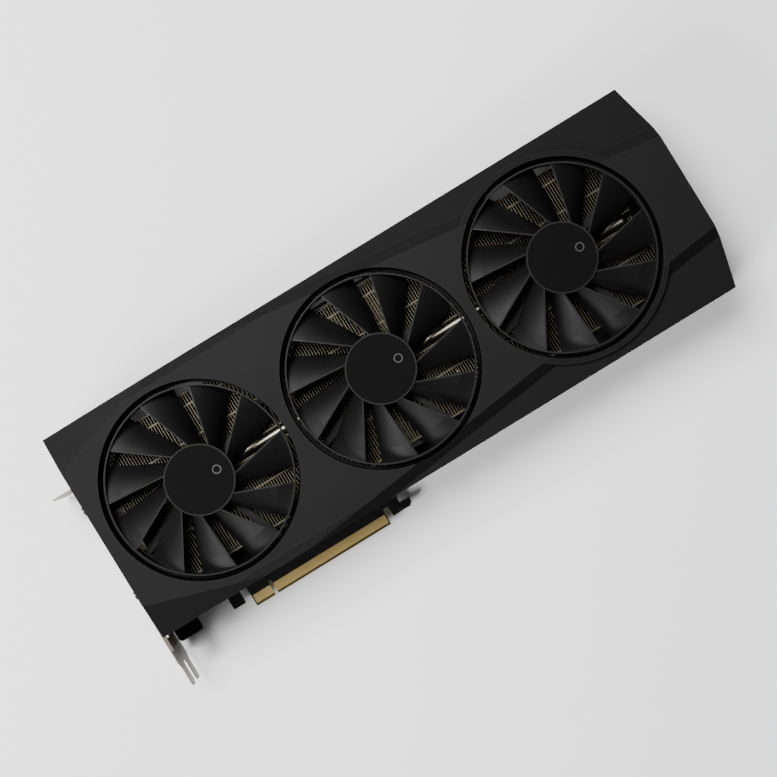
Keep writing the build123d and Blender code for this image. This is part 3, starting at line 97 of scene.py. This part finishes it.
# %% [markdown]
# ## A small language for finishes
# A finish is a graph of nodes. Wiring dozens of Math nodes by hand hides the idea behind it, so a socket
# is wrapped in a class that understands + - and *, and each sum adds its own node. Every other kind of
# node comes from its `node` method.

# %% Sockets that can be added and multiplied
class Wire:
    """One output socket of a material's nodes."""

    def __init__(self, tree, socket=None):
        self.tree = tree
        self.socket = socket

    def node(self, kind, settings=None, sockets=None, output=0):
        """Any node: its settings first, then the values or wires of its sockets."""
        made = self.tree.nodes.new(kind)
        for name, value in (settings or {}).items():
            setattr(made, name, value)
        for name, value in (sockets or {}).items():
            if isinstance(value, Wire):
                self.tree.links.new(value.socket, made.inputs[name])
            else:
                made.inputs[name].default_value = value
        return Wire(self.tree, made.outputs[output])

    def math(self, operation, first, second):
        return self.node("ShaderNodeMath", {"operation": operation}, {0: first, 1: second})

    def __add__(self, other):
        return self.math("ADD", self, other)

    def __sub__(self, other):
        return self.math("SUBTRACT", self, other)

    def __rsub__(self, other):
        return self.math("SUBTRACT", other, self)

    def __mul__(self, other):
        return self.math("MULTIPLY", self, other)

    __radd__ = __add__
    __rmul__ = __mul__


def limited(wire):
    """The wire's value held between 0 and 1."""
    return wire.node("ShaderNodeClamp", None, {"Value": wire, "Min": 0.0, "Max": 1.0})


print("wires ready")

# %% [markdown]
# ## What every finish shares
# Real surfaces are never one colour: a moulding has faint blotches where the plastic cooled and a fine
# spark-eroded grain from its mould, and its edges catch the light. The helpers below give any finish the
# blotches and the grain, and paint a lighter colour along the edges as a painted highlight. The edge mask
# compares the true normal with one that is smoothed over a small radius, so it is bright at edges.

# %% Helpers for finishes
# A Mix node repeats its socket names for numbers, vectors and colours. These are the places of its factor,
# its two colours and the mixed colour.
MIX_FACTOR, MIX_FIRST, MIX_SECOND, MIX_RESULT = 0, 6, 7, 2
EDGE_SAMPLES = 4


def begin(name, **constants):
    """A new material, its shader, and the wire that carries the place on the piece, in metres."""
    material = bpy.data.materials.new(name)
    material.use_nodes = True
    tree = material.node_tree
    shader = tree.nodes["Principled BSDF"]
    for key, value in constants.items():
        shader.inputs[key.replace("_", " ")].default_value = value
    place = Wire(tree).node("ShaderNodeTexCoord", output="Object")
    return material, shader, place


def plug(shader, **wires):
    """Feeds the shader's varying sockets."""
    for key, wire in wires.items():
        wire.tree.links.new(wire.socket, shader.inputs[key.replace("_", " ")])


def noise(place, per_metre, detail=2.0, stretch=(1, 1, 1)):
    """Smooth random values from 0 to 1."""
    if stretch != (1, 1, 1):
        place = place.node("ShaderNodeVectorMath", {"operation": "MULTIPLY"}, {0: place, 1: stretch})
    sockets = {"Vector": place, "Scale": per_metre, "Detail": detail}
    return place.node("ShaderNodeTexNoise", None, sockets)


def edges(place, radius, gain=3.0):
    """Bright along edges, dark on open faces."""
    soft = place.node("ShaderNodeBevel", {"samples": EDGE_SAMPLES}, {"Radius": radius})
    true = place.node("ShaderNodeNewGeometry", output="True Normal")
    operation = {"operation": "DOT_PRODUCT"}
    agreement = place.node("ShaderNodeVectorMath", operation, {0: soft, 1: true}, output="Value")
    return limited((1.0 - agreement) * gain)


def blend(amount, first, second):
    """A colour between two, by an amount from 0 to 1."""
    ends = [end if isinstance(end, Wire) else (*end, 1.0) for end in (first, second)]
    sockets = {MIX_FACTOR: amount, MIX_FIRST: ends[0], MIX_SECOND: ends[1]}
    return amount.node("ShaderNodeMix", {"data_type": "RGBA"}, sockets, output=MIX_RESULT)


def relief(place, height, depth):
    """A normal bent by a height from 0 to 1 over a depth in metres."""
    sockets = {"Height": height, "Distance": depth, "Strength": 1.0}
    return place.node("ShaderNodeBump", None, sockets)


def shade(colour, factor):
    """A colour made lighter or darker."""
    return tuple(min(1.0, channel * factor) for channel in colour)


print("helpers ready")

# %% [markdown]
# ## Two families of finish
# Most parts of the card are moulded plastic or paint, or else bare or plated metal, so one function makes
# each family and its values say which member it is. A shallow crease turns the normal little, so the
# casing and the panel take a large gain on the edge mask: their facets then meet in a thin line of painted
# highlight. The board and the gold get their own functions further down.

# %% Moulded plastic and paint
EDGE_WIDTH = 0.35 * MM
METAL_HIGHLIGHT_WIDTH = 0.25 * MM
CREASE_GAIN = 25.0


def moulded(name, colour, rough=0.5, gloss=0.5, grain=2200, grain_depth=0.02, blotch=0.12, edge_light=2.2,
            edge_gain=3.0):
    """Plastic or powder coat: faint blotches, a fine grain, and a painted highlight along the edges."""
    material, shader, place = begin(name, Specular_IOR_Level=gloss)
    cloud = noise(place, 35, 3)
    speck = noise(place, grain, 1)
    mixed = limited(cloud * 0.7 + speck * 0.3)
    tone = blend(mixed, shade(colour, 1 - blotch), shade(colour, 1 + blotch))
    # Painted highlight: the colour is made lighter along edges, unevenly, in place of light caught by a
    # rounded edge.
    painted_edge_highlight = edges(place, EDGE_WIDTH, edge_gain) * (0.5 + cloud)
    plug(shader, Base_Color=blend(limited(painted_edge_highlight), tone, shade(colour, edge_light)))
    plug(shader, Roughness=rough - 0.08 + cloud * 0.1 + speck * 0.06)
    plug(shader, Normal=relief(place, speck, grain_depth * MM))
    return material


# %% Metals
def metal(name, colour, rough=0.3, lines=(1, 1, 1), lines_per_metre=900, depth=0.004, tarnish=0.75,
          metallic=1.0):
    """Bare or plated metal: a rolled or brushed grain, uneven tarnish, and a painted highlight along the
    edges.
    """
    material, shader, place = begin(name, Metallic=metallic)
    cloud = noise(place, 60, 3)
    brushed = noise(place, lines_per_metre, 2, lines)
    tone = blend(limited(cloud * 0.8 + brushed * 0.3), shade(colour, tarnish), colour)
    # Painted highlight: the metal's colour is made lighter along its edges.
    painted_edge_glint = edges(place, METAL_HIGHLIGHT_WIDTH) * 0.6
    plug(shader, Base_Color=blend(painted_edge_glint, tone, shade(colour, 1.25)))
    plug(shader, Roughness=rough - 0.07 + cloud * 0.1 + brushed * 0.1)
    plug(shader, Normal=relief(place, brushed, depth * MM))
    return material


print("families: moulded, metal")

# %% [markdown]
# ## The finishes of this card
# The casing is a near-black satin moulding, and the centre panel is painted metal of almost the same
# tone. The backplate is a dark grey paint, lightened further as painted light for its dim underside. The
# wheels are a slightly glossier plastic than the casing, so that their blades pick up the light.

# %% Plastics
# edge_light sets how much lighter each moulded finish is painted along its edges: a painted highlight.
finishes = {
    "casing_plastic": moulded("casing_plastic", (0.0023, 0.0023, 0.0024), rough=0.6, gloss=0.1,
                              edge_light=6.0, edge_gain=CREASE_GAIN),
    "panel_metal": moulded("panel_metal", (0.0025, 0.0025, 0.0026), rough=0.56, gloss=0.12, grain=3000,
                           edge_light=9.0, edge_gain=CREASE_GAIN),
    # Partly painted light: a dark grey paint, made lighter than it is to stand in for light on its dim
    # underside.
    "backplate_metal": moulded("backplate_metal", (0.045, 0.045, 0.046), grain=1500, grain_depth=0.04),
    "socket_plastic": moulded("socket_plastic", (0.008, 0.008, 0.008), gloss=0.35),
    "plug_plastic": moulded("plug_plastic", (0.62, 0.6, 0.52), rough=0.45, edge_light=1.2),
    "lead_rubber": moulded("lead_rubber", (0.008, 0.008, 0.008), rough=0.6, grain=900),
    "frame_plastic": moulded("frame_plastic", (0.002, 0.002, 0.002), gloss=0.15),
    "rotor_plastic": moulded("rotor_plastic", (0.003, 0.003, 0.0031), gloss=0.16, edge_light=4.0),
    "cap_plastic": moulded("cap_plastic", (0.0016, 0.0016, 0.0017), rough=0.66, gloss=0.05),
    "chip_plastic": moulded("chip_plastic", (0.02, 0.02, 0.02), grain=4000),
    "pad_rubber": moulded("pad_rubber", (0.35, 0.4, 0.46), rough=0.8, grain=700, edge_light=1.1),
    "paste": moulded("paste", (0.4, 0.4, 0.4), rough=0.7, grain=600, edge_light=1.1),
    "choke_ferrite": moulded("choke_ferrite", (0.06, 0.06, 0.062), rough=0.65, grain=1800, blotch=0.25),
    "magnet_ferrite": moulded("magnet_ferrite", (0.035, 0.034, 0.034), rough=0.55, grain=2500),
    "black_screw_steel": moulded("black_screw_steel", (0.012, 0.012, 0.013), rough=0.35, edge_light=6.0),
    "package_laminate": moulded("package_laminate", (0.02, 0.05, 0.03), rough=0.35, grain=1200),
    "fan_laminate": moulded("fan_laminate", (0.02, 0.08, 0.04), rough=0.35, grain=1200),
}
moulded_count = len(finishes)
print("plastics, paints and other dull finishes:", moulded_count)

# %% Metal finishes
# Noise that is squeezed along one axis is drawn out into lines along it.
ALONG_X = (0.04, 1, 1)
ALONG_Y = (1, 0.04, 1)
ALONG_Z = (1, 1, 0.04)
finishes.update({
    "bracket_steel": metal("bracket_steel", (0.17, 0.15, 0.122), rough=0.38, lines=ALONG_Y,
                           lines_per_metre=1400),
    "screw_steel": metal("screw_steel", (0.16, 0.155, 0.15), rough=0.4),
    "spring_steel": metal("spring_steel", (0.42, 0.42, 0.43), rough=0.32, lines=ALONG_X),
    "shaft_steel": metal("shaft_steel", (0.6, 0.6, 0.61), rough=0.15, lines=ALONG_Z),
    "can_aluminium": metal("can_aluminium", (0.62, 0.62, 0.64), rough=0.25, lines=ALONG_Z),
    "cast_aluminium": metal("cast_aluminium", (0.1, 0.1, 0.105), rough=0.5, lines_per_metre=1600,
                            depth=0.03),
    "copper": metal("copper", (0.72, 0.4, 0.26), rough=0.28, lines=ALONG_X, tarnish=0.6),
    "plated_pipe": metal("plated_pipe", (0.2, 0.18, 0.14), lines=ALONG_X),
    "bearing_bronze": metal("bearing_bronze", (0.6, 0.42, 0.2), rough=0.35, lines_per_metre=2500,
                            depth=0.01),
    "winding_copper": metal("winding_copper", (0.55, 0.24, 0.1), lines=ALONG_X, lines_per_metre=1800),
    # Painted shade: the fins' colour is far darker than bare aluminium, for the dim inside of the cooler.
    "fin_aluminium": metal("fin_aluminium", (0.075, 0.066, 0.046), rough=0.36, lines=ALONG_Y,
                           lines_per_metre=700),
    "die_silicon": metal("die_silicon", (0.22, 0.24, 0.3), rough=0.08, depth=0.0005, metallic=0.8),
})
print("metals:", len(finishes) - moulded_count)

# %% [markdown]
# ## Board and contacts
# Solder mask is a thin lacquer over copper tracks, so the tracks show as a faint relief. The contacts are
# gold over nickel: pale where the slot's springs wipe them and darker on the bevel that is cut last.

# %% Board laminate
TRACK_PITCH = 6.0 * MM
# Diagonal bands repeat every 2 pi / 10 units of the scaled place.
TRACK_SCALE = 2 * pi / 10 / TRACK_PITCH


def board_laminate():
    """Black solder mask with the copper tracks under it."""
    material, shader, place = begin("board_laminate", Specular_IOR_Level=0.12)
    bands = {"wave_type": "BANDS", "bands_direction": "DIAGONAL"}
    sockets = {"Vector": place, "Scale": TRACK_SCALE, "Distortion": 2.5, "Detail": 0.0}
    waves = place.node("ShaderNodeTexWave", bands, sockets, output=1)
    tracks = limited((waves - 0.55) * 8)
    cloud = noise(place, 50, 3)
    lacquer = blend(limited(cloud), (0.003, 0.003, 0.0032), (0.0055, 0.0055, 0.0058))
    inked = blend(tracks * 0.5, lacquer, (0.009, 0.0092, 0.0096))
    plug(shader, Base_Color=blend(edges(place, 0.3 * MM), inked, (0.01, 0.009, 0.006)))
    plug(shader, Roughness=0.42 + cloud * 0.12)
    plug(shader, Normal=relief(place, tracks, 0.02 * MM))
    return material


finishes["board_laminate"] = board_laminate()
print("tracks every", round(TRACK_PITCH / MM, 2), "mm along an axis")

# %% Gilded contacts
WIPED_ABOVE = 1.45 * MM
BEVEL_SHARPNESS = 4000


def contact_gold():
    """Gold that is darker on the bevel, with painted shade along the gaps between contacts."""
    material, shader, place = begin("contact_gold", Metallic=1.0)
    from_slot = place.node("ShaderNodeSeparateXYZ", None, {0: place}, output="Y")
    bevel = limited((WIPED_ABOVE - from_slot) * BEVEL_SHARPNESS)
    scuff = noise(place, 1500, 2, ALONG_Y)
    gold = blend(limited(scuff * 1.4 - 0.2), (0.55, 0.4, 0.13), (0.8, 0.61, 0.27))
    # Painted shade: the gold is darkened along the edges of each contact, where the gaps between them lie.
    between = edges(place, 0.16 * MM, 5.0) * (1.0 - bevel)
    gold = blend(between * 0.85, gold, (0.12, 0.08, 0.03))
    plug(shader, Base_Color=blend(bevel, gold, (0.15, 0.105, 0.03)))
    plug(shader, Roughness=0.46 + scuff * 0.12)
    plug(shader, Normal=relief(place, scuff, 0.003 * MM))
    return material


finishes["contact_gold"] = contact_gold()
print("gold is wiped above", round(WIPED_ABOVE / MM, 2), "mm")

# %% [markdown]
# ## Dressing the frame
# The record says which finish each part takes, so a loop is enough to dress all of them.

# %% Give every part its finish
slot_of = {part["node"]: part["material_slot"] for part in frame["record"]["subparts"]}
for node, piece in nodes.items():
    for slot in piece.material_slots:
        slot.material = finishes[slot_of[node]]
bare = [node for node, piece in nodes.items() if not piece.material_slots]
print("parts dressed:", len(nodes) - len(bare), "left bare:", len(bare))
print("finishes used:", len(set(slot_of.values())))

# %% [markdown]
# ## Rounded edges on the mouldings and stampings
# The frame's parts have knife edges, but a mould leaves a small radius and a press leaves a burr that is
# tumbled off. Copies of the shroud, the backplate and the bracket have their doubled points merged and
# their flat faces joined again, and a Bevel modifier rounds whatever is sharper than 30 degrees. Each
# copy then stands for its part.

# %% Rounded copies
SAME_POINT = 0.002 * MM
SAME_PLANE = radians(1)
SHARP = radians(30)
ROUNDED_EDGES = {"shroud": 0.35 * MM, "backplate": 0.3 * MM, "io_bracket": 0.15 * MM}


def new_piece(name, mesh, finish):
    """An object in the scene, made from a bmesh that is then let go."""
    data = bpy.data.meshes.new(name)
    mesh.to_mesh(data)
    mesh.free()
    data.materials.append(finish)
    piece = bpy.data.objects.new(name, data)
    bpy.context.scene.collection.objects.link(piece)
    return piece


def rounded(node, radius):
    """A copy of a part with its sharp edges rounded."""
    mesh = bmesh.new()
    mesh.from_mesh(nodes[node].data)
    bmesh.ops.remove_doubles(mesh, verts=mesh.verts, dist=SAME_POINT)
    bmesh.ops.dissolve_limit(mesh, angle_limit=SAME_PLANE, verts=mesh.verts, edges=mesh.edges)
    piece = new_piece(node + "_rounded", mesh, finishes[slot_of[node]])
    bevel = piece.modifiers.new("rounding", "BEVEL")
    bevel.width = radius
    bevel.segments = 2
    bevel.limit_method = "ANGLE"
    bevel.angle_limit = SHARP
    bevel.use_clamp_overlap = True
    bevel.harden_normals = False
    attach(piece, "card")
    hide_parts(node)
    return piece


for node, radius in ROUNDED_EDGES.items():
    piece = rounded(node, radius)
    print(piece.name, "faces before rounding:", len(piece.data.polygons))

# %% [markdown]
# ## Hub marks
# A plain raised ring stands on each hub, off its centre, so that a turning wheel can be seen to turn. A
# disc is inset and its middle removed, the flat ring is raised, and its top rims are bevelled.

# %% A raised ring on each hub
MARK_OUT = 10.5 * MM
MARK_RADIUS = 2.4 * MM
MARK_WALL = 0.55 * MM
MARK_HEIGHT = 0.1 * MM
MARK_ROUND = 0.03 * MM
MARK_SIDES = 48
STEEP = 0.5
finishes["mark_paint"] = moulded("mark_paint", (0.018, 0.018, 0.0185), rough=0.4, edge_light=1.5)
for number in FAN_NUMBERS:
    mesh = bmesh.new()
    centre = Matrix.Translation((fan_axis[number].x + MARK_OUT, fan_axis[number].y, hub_top))
    bmesh.ops.create_circle(mesh, segments=MARK_SIDES, radius=MARK_RADIUS, matrix=centre, cap_ends=True)
    bmesh.ops.inset_region(mesh, faces=mesh.faces[:], thickness=MARK_WALL, use_boundary=True,
                           use_even_offset=True)
    inner = min(mesh.faces, key=lambda face: (face.calc_center_median() - centre.translation).length)
    bmesh.ops.delete(mesh, geom=[inner], context="FACES_ONLY")
    raised = bmesh.ops.extrude_face_region(mesh, geom=mesh.faces[:])
    lifted = [item for item in raised["geom"] if isinstance(item, bmesh.types.BMVert)]
    bmesh.ops.translate(mesh, verts=lifted, vec=(0, 0, MARK_HEIGHT))
    rims = [edge for edge in mesh.edges if all(vert in lifted for vert in edge.verts)
            and any(abs(face.normal.z) < STEEP for face in edge.link_faces)]
    bmesh.ops.bevel(mesh, geom=rims, offset=MARK_ROUND, offset_type="OFFSET", affect="EDGES",
                    segments=2, profile=0.5, material=-1)
    bmesh.ops.recalc_face_normals(mesh, faces=mesh.faces)
    open_edges = sum(not edge.is_manifold for edge in mesh.edges)
    mark = new_piece(f"hub_mark_{number}", mesh, finishes["mark_paint"])
    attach(mark, f"fan_{number}")
    print(mark.name, "faces", len(mark.data.polygons), "open edges", open_edges)

# %% [markdown]
# ## Floor and light
# A plain pale floor carries the soft shadow. The key is a large soft light above the card, beyond its
# edge away from the slot. The side light comes in lower from the bracket's end, and a dim sky fills what
# neither reaches.

# %% Floor
def floor_paint():
    """A pale matt paint with the faintest clouds."""
    material, shader, place = begin("floor_paint", Specular_IOR_Level=0.2)
    cloud = noise(place, 3, 2)
    plug(shader, Base_Color=blend(limited(cloud), (0.93, 0.93, 0.93), (0.96, 0.96, 0.96)))
    plug(shader, Roughness=0.7 + cloud * 0.1)
    return material


FLOOR_HALF = 15.0
mesh = bmesh.new()
under_card = Matrix.Translation((card_middle.x, card_middle.y, floor_z))
bmesh.ops.create_grid(mesh, x_segments=2, y_segments=2, size=FLOOR_HALF, matrix=under_card)
floor = new_piece("floor", mesh, floor_paint())
print("floor", 2 * FLOOR_HALF, "m wide")

# %% Lights
def area_light(name, place, aim, size, watts):
    """A square soft light that looks at a place."""
    data = bpy.data.lights.new(name, "AREA")
    data.size = size
    data.energy = watts
    light = bpy.data.objects.new(name, data)
    light.location = place
    light.rotation_euler = (Vector(aim) - Vector(place)).to_track_quat("-Z", "Y").to_euler()
    bpy.context.scene.collection.objects.link(light)
    return light


SKY = 0.12
area_light("key", place=(-0.1, 0.72, 1.4), aim=card_middle, size=0.8, watts=52)
area_light("side", place=(-1.15, -0.25, 0.85), aim=card_middle, size=0.6, watts=30)
world = bpy.data.worlds.new("sky")
bpy.context.scene.world = world
world.use_nodes = True
background = world.node_tree.nodes["Background"]
background.inputs["Color"].default_value = (1, 1, 1, 1)
background.inputs["Strength"].default_value = SKY
print("lights: key and side, sky", SKY)
